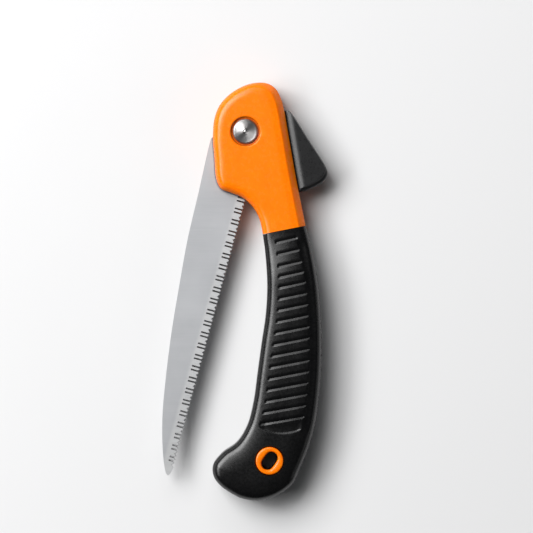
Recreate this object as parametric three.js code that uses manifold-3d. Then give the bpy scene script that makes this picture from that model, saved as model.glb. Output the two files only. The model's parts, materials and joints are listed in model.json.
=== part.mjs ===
// Folding pruning saw: a straight-toothed steel blade that swings out of a curved two-piece handle,
// with a spring-loaded thumb lever whose steel pawl drops into notches in the blade's tang.
// Units are millimetres. While it is built, the frame's origin is the blade pivot: +X towards the back of the
// handle, +Y towards the head, +Z out of the front face. At the end the whole saw is moved so that it
// lies on z = 0, centred over the origin.
import * as THREE from "three";
import { mergeVertices } from "three/addons/utils/BufferGeometryUtils.js";
import Module from "manifold-3d";

const wasm = await Module();
wasm.setup();

// ---------------------------------------------------------------- driving dimensions
const HEAD_HALF = 9.5; // half thickness of the orange head
const GRIP_HALF = 11.5; // half thickness of the grip, where the hand closes round it
const SKIN = 2.4; // thickness of the soft grip over the core
const GAP = 0.3; // gap between two pieces that lie against each other
const SLOT_HALF = 0.95; // half width of the slot that the blade folds into

const BLADE_HALF = 0.65; // the blade is ground from 1.3 mm strip
const TOOTH_LINE = 10.3; // distance of the first tooth tips from the pivot, square to the edge
const TOOTH_LEAN = 0.005; // how much further out the tips are for each millimetre along the edge
const TOOTH_HEIGHT = 4.6;
const TOOTH_PERIOD = 6.41; // one narrow and one double tooth
const TOOTH_GROUPS = 24;
const TEETH_START = 34.45; // distance of the first teeth from the pivot, along the edge
const BLADE_TIP = 193.4; // distance of the tip from the pivot, along the edge
const REST_ANGLE = -15.5; // degrees, tooth edge against the handle's Y axis
const CLOSED_ANGLE = 5;
const OPEN_ANGLE = -175;
const OPEN_ANGLE_2 = -153;

const TANG_RADIUS = 13;
const RIM_START = 36.5; // degrees from the edge's normal, where the tang's round rim begins
const NOTCH_RADIUS = 10.9; // bottom of the notches, and of the relief that the pawl lies in near closed
const NOTCH_HALF = 1.75; // half width of a notch
const PAWL_ANGLE = 10; // direction of the pawl's tip, seen from the pivot
const PAWL_HALF = 1.3;
const PAWL_RADIUS = 13.35; // the pawl's tip rides this far from the pivot, just clear of the tang

const LEVER_HALF = 2.9; // half thickness of the lever's arm
const PAD_HALF = 5.2; // half thickness of the lever's thumb pad
const PAD_BEVEL = 2.3;
const CAVITY_HALF = 5.6; // half width of the cavity that the lever works in
const LEVER_PIN = [18.5, -16.5];
const STOP_PIN = [16.2, 6.6];
const PAWL_RIVET = [18.6, -6.2];
const PIN_RADIUS = 1.5;
const PIN_HALF = 7.8;
const PIN_CLEARANCE = 0.12;

const BOLT_HEAD_RADIUS = 6.8;
const BOLT_RECESS_RADIUS = 8.7;
const BOLT_RECESS_DEPTH = 1.6;
const BOLT_RADIUS = 3;
const BUSH_RADIUS = 4;
const WASHER_RADIUS = 9;
const WASHER_THICK = 0.7;
const NUT_ACROSS_FLATS = 10;
const NUT_HEIGHT = 6;

const EYELET = [13.2, -180.3]; // hanging hole in the butt
const EYELET_RADIUS = 7.7;
const EYELET_SLOT_HALF = 3.45; // half width of the hole
const EYELET_SLOT_LONG = 1.8; // half distance between the centres of its round ends
const EYELET_TILT = 35; // degrees from the Y axis
const SCREWS = [
  [24, -44],
  [31.5, -98],
  [32, -150],
];
const SCREW_HEAD_RADIUS = 2.7;
const SCREW_RADIUS = 1.5;

// Outline of the head, from the neck's back corner over the top and round the jaw to the neck's front corner.
const HEAD_OUTLINE = [
  [37, -72],
  [32.9, -50.7],
  [28, -26],
  [23.3, 0.7],
  [21.3, 12],
  [19.4, 18.6],
  [16.4, 23.8],
  [12, 26.5],
  [6, 26.9],
  [-0.5, 25.3],
  [-8, 21.1],
  [-14, 14.8],
  [-17, 7.5],
  [-17.9, -1.5],
  [-17, -15],
  [-15.9, -26.4],
  [-13.4, -31.3],
  [-7.5, -33.7],
  [-1.2, -36.5],
  [4.3, -41.7],
  [7.6, -47.8],
  [9.3, -55],
  [10.6, -71],
];
// Where the orange head ends and the soft grip begins.
const NECK_FRONT = [9.3, -56.3];
const NECK_BACK = [32.9, -51.6];

// The grip's front (belly) and back edges, station by station from the neck to the butt,
// and its half thickness at the same stations.
const GRIP_STATIONS = [
  { belly: [9.5, -56], back: [33, -51.4], half: 9.5 },
  { belly: [10.8, -66], back: [36.3, -64.5], half: 10.3 },
  { belly: [11.9, -84], back: [39.8, -83.5], half: 11.5 },
  { belly: [11.1, -100], back: [41.3, -101], half: 11.5 },
  { belly: [8.8, -116], back: [41.7, -117], half: 11.5 },
  { belly: [6.6, -132], back: [41.3, -133], half: 11.5 },
  { belly: [4.4, -148], back: [40, -148], half: 11.5 },
  { belly: [1, -161], back: [38, -161], half: 11.5 },
  { belly: [-4.6, -170.2], back: [35.2, -171.5], half: 11.5 },
  { belly: [-12.8, -176.3], back: [32.2, -179.5], half: 11.5 },
  { belly: [-17.8, -183], back: [29.2, -186.5], half: 11.5 },
  { belly: [-17.3, -189.5], back: [26.5, -192.4], half: 11.2 },
  { belly: [-13.5, -194.4], back: [21, -197.4], half: 9.8 },
  { belly: [-8, -198.3], back: [14, -200.9], half: 7.4 },
  { belly: [-2, -201.2], back: [8.4, -202.5], half: 4 },
];
// Cross-section of one half of the grip: place across the width, height as a share of the half thickness.
const GRIP_SECTION = [
  [0, 0],
  [0, 0.42],
  [0.03, 0.66],
  [0.1, 0.88],
  [0.2, 0.98],
  [0.28, 1],
  [0.72, 1],
  [0.8, 0.98],
  [0.9, 0.88],
  [0.97, 0.66],
  [1, 0.42],
  [1, 0],
];
const GROOVE_COUNT = 17;
const GROOVE_PITCH = 6.22;
const GROOVE_WIDTH = 1.9;
const GROOVE_DEPTH = 0.9;
const GROOVE_FIRST = -60.5; // height of the first groove's middle
const GROOVE_RISE = 11; // degrees

// Spine of the blade in the blade's own frame: the edge points down, and the teeth face +X.
const SPINE = [
  [-17.3, -8.5],
  [-17.3, -13],
  [-16, -39],
  [-14.9, -65.4],
  [-12.5, -91.5],
  [-9.7, -117.6],
  [-5.9, -143.4],
  [-2.8, -160.4],
  [0.4, -172.9],
  [3.2, -181.6],
  [5.5, -187.6],
  [7.4, -191.6],
  [8.4, -193],
];
// The part of the lever that shows: down its sloping thumb face and round its lower corner.
const THUMB_FACE = [
  [25.6, 9.9],
  [28.3, 6.1],
  [34.3, -3.6],
  [40.1, -12.4],
  [44.3, -19.4],
  [45.3, -22.9],
  [44.3, -25.7],
  [41.3, -28.4],
  [36.6, -31],
  [31.2, -33],
];

// ---------------------------------------------------------------- helpers
const rad = THREE.MathUtils.degToRad;
const polar = (radius, degrees) => [radius * Math.cos(rad(degrees)), radius * Math.sin(rad(degrees))];
const vectors = (points) => points.map(([x, y]) => new THREE.Vector2(x, y));

// A closed geometry as a manifold-3d solid.
function solidOf(geometry) {
  const bare = new THREE.BufferGeometry().setAttribute("position", geometry.getAttribute("position"));
  if (geometry.index) bare.setIndex(geometry.index);
  const merged = mergeVertices(bare, 1e-4);
  return new wasm.Manifold(
    new wasm.Mesh({
      numProp: 3,
      vertProperties: merged.attributes.position.array,
      triVerts: new Uint32Array(merged.index.array),
    }),
  );
}

function geometryOf(solid) {
  const mesh = solid.getMesh();
  const positions = new Float32Array(mesh.numVert * 3);
  for (let i = 0; i < mesh.numVert; i++) {
    positions.set(mesh.vertProperties.subarray(i * mesh.numProp, i * mesh.numProp + 3), i * 3);
  }
  return new THREE.BufferGeometry()
    .setAttribute("position", new THREE.BufferAttribute(positions, 3))
    .setIndex(new THREE.BufferAttribute(mesh.triVerts, 1));
}

// The same solid on the other side of the blade's plane.
function mirrored(solid) {
  const geometry = geometryOf(solid);
  const position = geometry.getAttribute("position");
  for (let i = 0; i < position.count; i++) position.setZ(i, -position.getZ(i));
  const index = geometry.index.array;
  for (let i = 0; i < index.length; i += 3) [index[i + 1], index[i + 2]] = [index[i + 2], index[i + 1]];
  return solidOf(geometry);
}

// A prism of an outline between two heights. With a bevel, both faces are drawn in by it.
function prism(outline, low, high, bevel = 0, steps = 3) {
  const shape = outline instanceof THREE.Shape ? outline : new THREE.Shape(vectors(outline));
  const geometry = new THREE.ExtrudeGeometry(shape, {
    depth: high - low - 2 * bevel,
    bevelEnabled: bevel > 0,
    bevelThickness: bevel,
    bevelSize: bevel,
    bevelOffset: -bevel,
    bevelSegments: steps,
    curveSegments: 10,
  });
  return solidOf(geometry.translate(0, 0, low + bevel));
}

function cylinder([x, y], radius, low, high, sides = 24) {
  const geometry = new THREE.CylinderGeometry(radius, radius, high - low, sides);
  return solidOf(geometry.rotateX(Math.PI / 2).translate(x, y, (low + high) / 2));
}

// A solid turned about Z from a profile of [radius, height] pairs that starts and ends on the axis.
function turned(profile, [x, y], sides = 32) {
  const geometry = new THREE.LatheGeometry(vectors(profile), sides);
  return solidOf(geometry.rotateX(Math.PI / 2).translate(x, y, 0));
}

const washer = (centre, outer, inner, low, high) =>
  cylinder(centre, outer, low, high, 32).subtract(cylinder(centre, inner, low - 1, high + 1));

// A solid through rings that all have the same number of points, closed at both ends.
function loft(rings) {
  const count = rings[0].length;
  const positions = rings.flat(2);
  const index = [];
  for (let r = 0; r < rings.length - 1; r++) {
    for (let i = 0; i < count; i++) {
      const a = r * count + i;
      const b = r * count + ((i + 1) % count);
      index.push(a, b, a + count, b, b + count, a + count);
    }
  }
  const last = (rings.length - 1) * count;
  for (let i = 1; i < count - 1; i++) {
    index.push(0, i + 1, i, last, last + i, last + i + 1);
  }
  const geometry = new THREE.BufferGeometry()
    .setAttribute("position", new THREE.Float32BufferAttribute(positions, 3))
    .setIndex(index);
  const solid = solidOf(geometry);
  if (solid.volume() > 0) return solid;
  for (let i = 0; i < index.length; i += 3) [index[i + 1], index[i + 2]] = [index[i + 2], index[i + 1]];
  return solidOf(geometry.setIndex(index));
}

function smooth(points, count) {
  const curve = new THREE.CatmullRomCurve3(
    points.map(([x, y]) => new THREE.Vector3(x, y, 0)),
    false,
    "centripetal",
  );
  return curve.getPoints(count).map((p) => [p.x, p.y]);
}

const unionOf = (solids) => solids.reduce((all, one) => all.add(one));
const cut = (solid, ...tools) => tools.reduce((left, tool) => left.subtract(tool), solid);

// ---------------------------------------------------------------- blade
// A point on the closed blade's edge: distance along it from the pivot, and distance beyond it.
function closedEdge(along, beyond) {
  const a = rad(CLOSED_ANGLE);
  const out = TOOTH_LINE + beyond;
  return [out * Math.cos(a) + along * Math.sin(a), out * Math.sin(a) - along * Math.cos(a)];
}

// How far out the tooth tips are at a distance along the edge.
const tipLine = (along) => TOOTH_LINE + TOOTH_LEAN * (along - TEETH_START);

// One group of teeth as [depth below the tips, distance along]: a deep, nearly parallel gullet on each side
// of a narrow tooth, then a double tooth that a shallow gullet parts.
function toothGroup(start) {
  const waist = 1.2;
  const profile = [
    [0, 0.1],
    [waist, 0.5],
    [TOOTH_HEIGHT, 0.65],
    [TOOTH_HEIGHT, 1.45],
    [waist, 1.6],
    [0, 2.1],
    [waist, 2.6],
    [TOOTH_HEIGHT, 2.75],
    [TOOTH_HEIGHT, 3.55],
    [waist, 3.7],
    [0, 4.15],
    [1.1, 5.35],
  ];
  return profile.map(([depth, along]) => [tipLine(start + along) - depth, -start - along]);
}

function notch(degrees) {
  const [cx, cy] = polar(1, degrees);
  const at = (radius, side) => [radius * cx - side * cy, radius * cy + side * cx];
  const rim = Math.sqrt(TANG_RADIUS ** 2 - NOTCH_HALF ** 2);
  return [at(rim, -NOTCH_HALF), at(NOTCH_RADIUS, -NOTCH_HALF), at(NOTCH_RADIUS, NOTCH_HALF), at(rim, NOTCH_HALF)];
}

function arc(radius, from, to, steps) {
  return Array.from({ length: steps + 1 }, (_, i) => polar(radius, from + ((to - from) * i) / steps));
}

// Blade outline, counter-clockwise from the tip up the toothed edge and round the tang.
function bladeOutline() {
  const teethEnd = TEETH_START + TOOTH_GROUPS * TOOTH_PERIOD + 0.1;
  const tip = [
    [9.3, -BLADE_TIP],
    [10.2, -192.2],
    [10.8, -190.4],
    [tipLine(teethEnd), -teethEnd],
  ];
  const teeth = [];
  for (let g = TOOTH_GROUPS - 1; g >= 0; g--) teeth.push(...toothGroup(TEETH_START + g * TOOTH_PERIOD).reverse());
  const heel = [TOOTH_LINE, 3.5];
  const relief = arc(NOTCH_RADIUS, 20, RIM_START - 2, 3);
  const notchTwo = PAWL_ANGLE - OPEN_ANGLE_2;
  const notchOne = PAWL_ANGLE - OPEN_ANGLE;
  const rim = [
    ...arc(TANG_RADIUS, RIM_START, notchTwo - 9, 14),
    ...notch(notchTwo),
    ...notch(notchOne),
    polar(TANG_RADIUS, notchOne + 9),
    [-15, -5.3],
  ];
  return [...tip, ...teeth, heel, ...relief, ...rim, ...smooth(SPINE, 44)];
}

function makeBlade() {
  return cut(prism(bladeOutline(), -BLADE_HALF, BLADE_HALF), cylinder([0, 0], BUSH_RADIUS + 0.1, -2, 2, 32));
}

// ---------------------------------------------------------------- handle
// The space inside the handle that the blade sweeps: all that lies before the closed blade's edge,
// out to the circle that its tip runs on. The blade's heel comes to rest on the step in its floor.
function slotOutline() {
  const clear = 1.2;
  const reach = Math.hypot(BLADE_TIP, TOOTH_LINE) + 0.7;
  return [
    [-60, 60],
    [-60, -100],
    ...arc(reach, -120, -81.4, 10),
    closedEdge(BLADE_TIP - 8, clear),
    closedEdge(34, clear),
    closedEdge(34, 0.25),
    closedEdge(24, 0.25),
    closedEdge(24, clear),
    closedEdge(16, clear),
    [14, -8],
    [14, 4.5],
    [17.2, 9.5],
    [17.2, 60],
  ];
}

// The cavity behind the tang that the lever, its spring and the stop pin work in.
const CAVITY_OUTLINE = [
  [13, 6.4],
  [13, -3],
  [13.6, -22],
  [15.3, -23.6],
  [15.3, -31.2],
  [19.5, -36],
  [60, -36],
  [60, 15.6],
  [17.2, 15.6],
  [17.2, 9.8],
];

// One half of the grip. An inset draws it in on every outer side, for the core underneath.
function gripHalf(inset) {
  const last = inset > 0 ? GRIP_STATIONS.length - 2 : GRIP_STATIONS.length;
  const steps = 3 * (GRIP_STATIONS.length - 1);
  const belly = smooth(GRIP_STATIONS.map((s) => s.belly), steps);
  const back = smooth(GRIP_STATIONS.map((s) => s.back), steps);
  const half = smooth(GRIP_STATIONS.map((s, i) => [i, s.half]), steps).map((p) => p[1]);
  const rings = [];
  for (let i = 0; i <= 3 * (last - 1); i++) {
    const from = new THREE.Vector2(...belly[i]);
    const to = new THREE.Vector2(...back[i]);
    const across = to.clone().sub(from).normalize();
    from.addScaledVector(across, inset);
    to.addScaledVector(across, -inset);
    rings.push(
      GRIP_SECTION.map(([v, share]) => {
        const p = from.clone().lerp(to, v);
        return [p.x, p.y, share * (half[i] - inset)];
      }),
    );
  }
  return loft(rings);
}

// Everything on the head's side of the neck line, or on the grip's side.
function neckSide(head, gap = 0) {
  const [ax, ay] = NECK_FRONT;
  const [bx, by] = NECK_BACK;
  const slope = (by - ay) / (bx - ax);
  const at = (x) => ay + slope * (x - ax) - gap;
  const far = head ? 80 : -300;
  const outline = [
    [-80, at(-80)],
    [80, at(80)],
    [80, far],
    [-80, far],
  ];
  return prism(head ? outline : outline.reverse(), -40, 40);
}

function eyeletHole() {
  const shape = new THREE.Shape();
  shape.absarc(0, EYELET_SLOT_LONG, EYELET_SLOT_HALF, 0, Math.PI);
  shape.absarc(0, -EYELET_SLOT_LONG, EYELET_SLOT_HALF, Math.PI, 2 * Math.PI);
  const geometry = new THREE.ExtrudeGeometry(shape, { depth: 60, bevelEnabled: false, curveSegments: 8 });
  geometry.rotateZ(-rad(EYELET_TILT)).translate(...EYELET, -30);
  return solidOf(geometry);
}

const upperHalf = prism(
  [
    [-90, -300],
    [90, -300],
    [90, 90],
    [-90, 90],
  ],
  0,
  60,
);
const slot = prism(slotOutline(), -SLOT_HALF, SLOT_HALF);
const cavity = prism(CAVITY_OUTLINE, -CAVITY_HALF, CAVITY_HALF);
const hole = eyeletHole();

// What the two core halves have in common, on the front side of the blade's plane.
function coreHalf() {
  const head = prism(smooth(HEAD_OUTLINE, 88), -HEAD_HALF, HEAD_HALF, 3.2, 4).intersect(neckSide(true));
  const boss = cylinder(EYELET, EYELET_RADIUS, 0, GRIP_HALF + 0.1, 32);
  const body = head.intersect(upperHalf).add(gripHalf(SKIN)).add(boss);
  return cut(
    body,
    slot,
    cavity,
    hole,
    cylinder(LEVER_PIN, PIN_RADIUS + PIN_CLEARANCE, -1, PIN_HALF + 0.2, 16),
    cylinder(STOP_PIN, PIN_RADIUS + PIN_CLEARANCE, -1, PIN_HALF + 0.2, 16),
    cylinder([0, 0], WASHER_RADIUS + GAP, -1, BLADE_HALF + 0.2 + WASHER_THICK, 32),
    cylinder([0, 0], BOLT_RADIUS + PIN_CLEARANCE, -1, 20),
  );
}

function makeCoreFront() {
  const threads = SCREWS.map((at) => cylinder(at, SCREW_RADIUS + PIN_CLEARANCE, -1, 6.3, 12));
  const recess = cylinder([0, 0], BOLT_RECESS_RADIUS, BOLT_SEAT, 20, 40);
  return cut(coreHalf(), recess, ...threads);
}

const NUT_SEAT = -GRIP_HALF + NUT_HEIGHT; // the nut's inner face
const NUT_WASHER_THICK = 0.9;
const hexagon = (acrossFlats) => arc(acrossFlats / Math.sqrt(3), 0, 300, 5);

function makeCoreRear() {
  const pocketFloor = NUT_SEAT + NUT_WASHER_THICK + 0.1;
  const screws = SCREWS.flatMap((at) => [
    cylinder(at, SCREW_RADIUS + PIN_CLEARANCE, -10, 1, 12),
    cylinder(at, SCREW_HEAD_RADIUS + GAP, -20, -4.9, 20),
  ]);
  return cut(
    mirrored(coreHalf()),
    prism(hexagon(NUT_ACROSS_FLATS + 2 * GAP), -20, NUT_SEAT),
    cylinder([0, 0], 5.3, -20, pocketFloor, 24),
    ...screws,
  );
}

// Finger grooves, as slim slanting bars laid into the grip's face.
function grooves() {
  const bars = [];
  const middles = smooth(
    GRIP_STATIONS.map((s) => [(s.belly[0] + s.back[0]) / 2, (s.belly[1] + s.back[1]) / 2]),
    120,
  );
  for (let i = 0; i < GROOVE_COUNT; i++) {
    const y = GROOVE_FIRST - i * GROOVE_PITCH;
    const [x] = middles.find((p) => p[1] < y);
    const station = GRIP_STATIONS.findIndex((s) => s.back[1] < y);
    const above = GRIP_STATIONS[station - 1];
    const below = GRIP_STATIONS[station];
    const t = (above.back[1] - y) / (above.back[1] - below.back[1]);
    const half = above.half + t * (below.half - above.half);
    const length = (below.back[0] - below.belly[0]) * 0.66;
    const bar = new THREE.BoxGeometry(length, GROOVE_WIDTH, 6);
    bar.rotateZ(rad(GROOVE_RISE)).translate(x + 0.8, y, half - GROOVE_DEPTH + 3);
    bars.push(solidOf(bar));
  }
  return unionOf(bars);
}

function makeGripFront() {
  const skin = cut(gripHalf(0), gripHalf(SKIN - GAP), slot, cylinder(EYELET, EYELET_RADIUS + GAP, -1, 20, 32));
  return skin.intersect(neckSide(false, GAP)).subtract(grooves());
}

function makeGripRear() {
  const openings = SCREWS.map((at) => cylinder(at, SCREW_HEAD_RADIUS + 1, -20, -4, 20));
  return cut(mirrored(makeGripFront()), ...openings);
}

// ---------------------------------------------------------------- pivot and fasteners
const BOLT_SEAT = HEAD_HALF - BOLT_RECESS_DEPTH;
const BOLT_WASHER_THICK = 0.5;

function makePivotBolt() {
  const seat = BOLT_SEAT + BOLT_WASHER_THICK;
  const top = HEAD_HALF - 0.1;
  const profile = [
    [0, -GRIP_HALF + 0.6],
    [BOLT_RADIUS - 0.4, -GRIP_HALF + 0.6],
    [BOLT_RADIUS, -GRIP_HALF + 1],
    [BOLT_RADIUS, seat],
    [BOLT_HEAD_RADIUS, seat],
    [BOLT_HEAD_RADIUS, top - 0.5],
    [BOLT_HEAD_RADIUS - 0.7, top],
    [1.1, top + 0.25],
    [0.7, top - 0.3],
    [0, top - 0.3],
  ];
  return turned(profile, [0, 0]);
}

function makePivotNut() {
  const body = prism(hexagon(NUT_ACROSS_FLATS), -GRIP_HALF, NUT_SEAT - 0.1);
  return cut(body, cylinder([0, 0], BOLT_RADIUS + PIN_CLEARANCE, -20, 20));
}

function makeScrew(at) {
  const profile = [
    [0, -7.1],
    [0.9, -7.1],
    [0.9, -8],
    [2.1, -8],
    [SCREW_HEAD_RADIUS, -7.4],
    [SCREW_HEAD_RADIUS, -5],
    [SCREW_RADIUS, -5],
    [SCREW_RADIUS, 5.2],
    [0, 6],
  ];
  return turned(profile, at, 20);
}

const makePin = (at) => cylinder(at, PIN_RADIUS, -PIN_HALF, PIN_HALF, 16);

// ---------------------------------------------------------------- lever, pawl and spring
// A point given by its distance from the pivot along the pawl's direction, and sideways from it.
function fromPawl(radius, side) {
  const [cx, cy] = polar(1, PAWL_ANGLE);
  return [radius * cx - side * cy, radius * cy + side * cx];
}

const PAWL_OUTLINE = [
  fromPawl(PAWL_RADIUS, PAWL_HALF - 0.3),
  fromPawl(PAWL_RADIUS, -PAWL_HALF + 0.3),
  fromPawl(PAWL_RADIUS + 0.4, -PAWL_HALF),
  fromPawl(16.6, -PAWL_HALF),
  [16.9, -2],
  [17, -8.6],
  [20.2, -8.6],
  [20.4, -2],
  fromPawl(19.6, PAWL_HALF),
  fromPawl(PAWL_RADIUS + 0.4, PAWL_HALF),
];

const ARM_OUTLINE = [
  [15.8, 4],
  [16.1, -1],
  [16.2, -8],
  [14.7, -13.6],
  [14.1, -16.8],
  [15.2, -19.8],
  [17.4, -20.9],
  [21.4, -23.7],
  [22.4, -24.6],
  [22.4, -31.6],
  [24.2, -33.2],
  [31.2, -33],
  [33.5, -30],
  [30, -10],
  [26.5, 6],
  [25.6, 9.9],
  [21.5, 12.7],
  [20.9, 12],
  [20.9, 4.8],
];
// The ridge along the thumb pad, where its face turns down towards the head.
const RIDGE = [28.7, -10];
const RIDGE_LEAN = 9.8; // degrees from the Y axis
const RIDGE_SLOPE = 22;

function padSlope() {
  const block = new THREE.BoxGeometry(20, 80, 10).translate(-10, 0, 5);
  return solidOf(block.rotateY(-rad(RIDGE_SLOPE)).rotateZ(rad(RIDGE_LEAN)).translate(...RIDGE, PAD_HALF));
}

function makeLever() {
  const inner = [
    [27.5, -31.5],
    [24.5, -14],
    [21.2, 5],
    [21.2, 11],
  ];
  const block = prism([...THUMB_FACE, ...inner], -PAD_HALF, PAD_HALF, PAD_BEVEL, 2);
  const pad = cut(block, padSlope(), mirrored(padSlope()));
  const arm = prism(ARM_OUTLINE, -LEVER_HALF, LEVER_HALF);
  const boss = cylinder(LEVER_PIN, 4.3, -CAVITY_HALF + GAP, CAVITY_HALF - GAP, 24);
  const seat = new THREE.Shape(vectors(PAWL_OUTLINE));
  const seatPoints = seat.getPoints().map((p) => [p.x, p.y]);
  const pocket = prism(grown(seatPoints, GAP), -BLADE_HALF - GAP, BLADE_HALF + GAP);
  return cut(
    arm.add(pad).add(boss),
    pocket,
    cylinder(LEVER_PIN, PIN_RADIUS + PIN_CLEARANCE, -10, 10, 16),
    cylinder(PAWL_RIVET, 1 + PIN_CLEARANCE, -10, 10, 12),
  );
}

// An outline moved outwards by a distance, corner by corner.
function grown(points, distance) {
  const area = THREE.ShapeUtils.area(vectors(points));
  const turn = area > 0 ? 1 : -1;
  return points.map(([x, y], i) => {
    const before = points[(i + points.length - 1) % points.length];
    const after = points[(i + 1) % points.length];
    const along1 = new THREE.Vector2(x - before[0], y - before[1]).normalize();
    const along2 = new THREE.Vector2(after[0] - x, after[1] - y).normalize();
    const normal1 = new THREE.Vector2(along1.y, -along1.x).multiplyScalar(turn);
    const normal2 = new THREE.Vector2(along2.y, -along2.x).multiplyScalar(turn);
    const middle = normal1.clone().add(normal2);
    const scale = (2 * distance) / middle.lengthSq();
    return [x + middle.x * scale, y + middle.y * scale];
  });
}

function makePawl() {
  return cut(prism(PAWL_OUTLINE, -BLADE_HALF, BLADE_HALF), cylinder(PAWL_RIVET, 1 + PIN_CLEARANCE, -5, 5, 12));
}

class Helix extends THREE.Curve {
  constructor(radius, length, turns) {
    super();
    Object.assign(this, { radius, length, turns });
  }
  getPoint(t, target = new THREE.Vector3()) {
    const a = 2 * Math.PI * this.turns * t;
    return target.set(this.length * t, this.radius * Math.cos(a), this.radius * Math.sin(a));
  }
}

const SPRING = { x: 15.9, y: -28, length: 5.9, radius: 2.1, wire: 0.35, turns: 5 };

function makeSpring() {
  const section = new THREE.Shape();
  section.absarc(0, 0, SPRING.wire, 0, 2 * Math.PI);
  const geometry = new THREE.ExtrudeGeometry(section, {
    steps: SPRING.turns * 14,
    curveSegments: 3,
    bevelEnabled: false,
    extrudePath: new Helix(SPRING.radius, SPRING.length, SPRING.turns),
  });
  return solidOf(geometry.translate(SPRING.x, SPRING.y, 0));
}

// ---------------------------------------------------------------- materials and assembly
const finish = (color, roughness, metalness) => new THREE.MeshStandardMaterial({ color, roughness, metalness });
const ORANGE = finish(0xf98a05, 0.42, 0);
const SOFT_BLACK = finish(0x1f2022, 0.62, 0);
const BLACK = finish(0x2b2c2f, 0.5, 0);
const BLADE_STEEL = finish(0xbfc0c4, 0.38, 1);
const BRIGHT_STEEL = finish(0xd9d6d2, 0.18, 1);
const ZINC = finish(0xa9abad, 0.35, 1);

const saw = new THREE.Group();

function place(name, solid, material, parent = saw) {
  const mesh = new THREE.Mesh(geometryOf(solid), material);
  mesh.name = name;
  parent.add(mesh);
}

place("core_front", makeCoreFront(), ORANGE);
place("core_rear", makeCoreRear(), ORANGE);
place("grip_front", makeGripFront(), SOFT_BLACK);
place("grip_rear", makeGripRear(), SOFT_BLACK);

const washerLow = BLADE_HALF + 0.1;
place("pivot_bolt", makePivotBolt(), BRIGHT_STEEL);
place("bolt_washer", washer([0, 0], 6.6, BOLT_RADIUS + 0.2, BOLT_SEAT, BOLT_SEAT + BOLT_WASHER_THICK), ZINC);
place("pivot_bush", washer([0, 0], BUSH_RADIUS, BOLT_RADIUS + PIN_CLEARANCE, -1.45, 1.45), ZINC);
place("washer_front", washer([0, 0], WASHER_RADIUS, BUSH_RADIUS + 0.2, washerLow, washerLow + WASHER_THICK), ZINC);
place("washer_rear", washer([0, 0], WASHER_RADIUS, BUSH_RADIUS + 0.2, -washerLow - WASHER_THICK, -washerLow), ZINC);
place("nut_washer", washer([0, 0], 5, BOLT_RADIUS + 0.2, NUT_SEAT, NUT_SEAT + NUT_WASHER_THICK), ZINC);
place("pivot_nut", makePivotNut(), ZINC);
place("lever_pin", makePin(LEVER_PIN), ZINC);
place("stop_pin", makePin(STOP_PIN), ZINC);
place("lever_spring", makeSpring(), ZINC);
SCREWS.forEach((at, i) => place(`handle_screw_${i + 1}`, makeScrew(at), ZINC));

place("lock_lever", makeLever(), BLACK);
place("lock_pawl", makePawl(), BLADE_STEEL);
place("pawl_rivet", cylinder(PAWL_RIVET, 1, -LEVER_HALF + 0.1, LEVER_HALF - 0.1, 12), ZINC);

const bladeGroup = new THREE.Group();
bladeGroup.rotation.z = rad(REST_ANGLE);
saw.add(bladeGroup);
place("blade", makeBlade(), BLADE_STEEL, bladeGroup);

// The saw lies on its rear face, with the origin under the middle of its outline.
const extent = new THREE.Box3().setFromObject(saw, true);
const middle = extent.getCenter(new THREE.Vector3());
saw.position.set(-middle.x, -middle.y, -extent.min.z);

export default saw;
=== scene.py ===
"""Folding pruning saw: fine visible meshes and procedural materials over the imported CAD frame.

Lengths are in millimetres from the blade's pivot, with the CAD model's axes: +X towards the thumb
lever, +Y towards the head, +Z towards the face with the bolt. at() turns them into the frame's metres.
"""
import json
import math

import bpy
import numpy as np
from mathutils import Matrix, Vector
from mathutils.geometry import delaunay_2d_cdt


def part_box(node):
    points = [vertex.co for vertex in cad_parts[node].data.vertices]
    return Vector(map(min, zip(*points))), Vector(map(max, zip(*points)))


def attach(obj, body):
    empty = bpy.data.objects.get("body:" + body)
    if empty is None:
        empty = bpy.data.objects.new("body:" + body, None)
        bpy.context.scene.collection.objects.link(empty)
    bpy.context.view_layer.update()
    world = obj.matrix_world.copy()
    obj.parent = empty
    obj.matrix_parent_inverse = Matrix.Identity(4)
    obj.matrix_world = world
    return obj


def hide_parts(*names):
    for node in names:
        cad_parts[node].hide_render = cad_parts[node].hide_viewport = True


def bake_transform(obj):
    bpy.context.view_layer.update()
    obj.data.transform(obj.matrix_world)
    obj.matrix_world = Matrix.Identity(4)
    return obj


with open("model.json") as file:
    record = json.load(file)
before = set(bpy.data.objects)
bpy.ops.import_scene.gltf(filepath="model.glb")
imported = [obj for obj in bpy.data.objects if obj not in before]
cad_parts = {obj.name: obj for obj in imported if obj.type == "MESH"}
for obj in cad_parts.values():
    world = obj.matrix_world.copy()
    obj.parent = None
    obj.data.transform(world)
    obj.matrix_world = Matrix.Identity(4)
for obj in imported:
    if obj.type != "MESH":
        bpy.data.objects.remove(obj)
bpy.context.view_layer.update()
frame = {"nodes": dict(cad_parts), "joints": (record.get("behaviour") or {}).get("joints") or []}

MM = 0.001
JOINTS = {joint["name"]: joint for joint in frame["joints"]}
PIVOT = Vector(JOINTS["blade_pivot"]["pos_m"])

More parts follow.
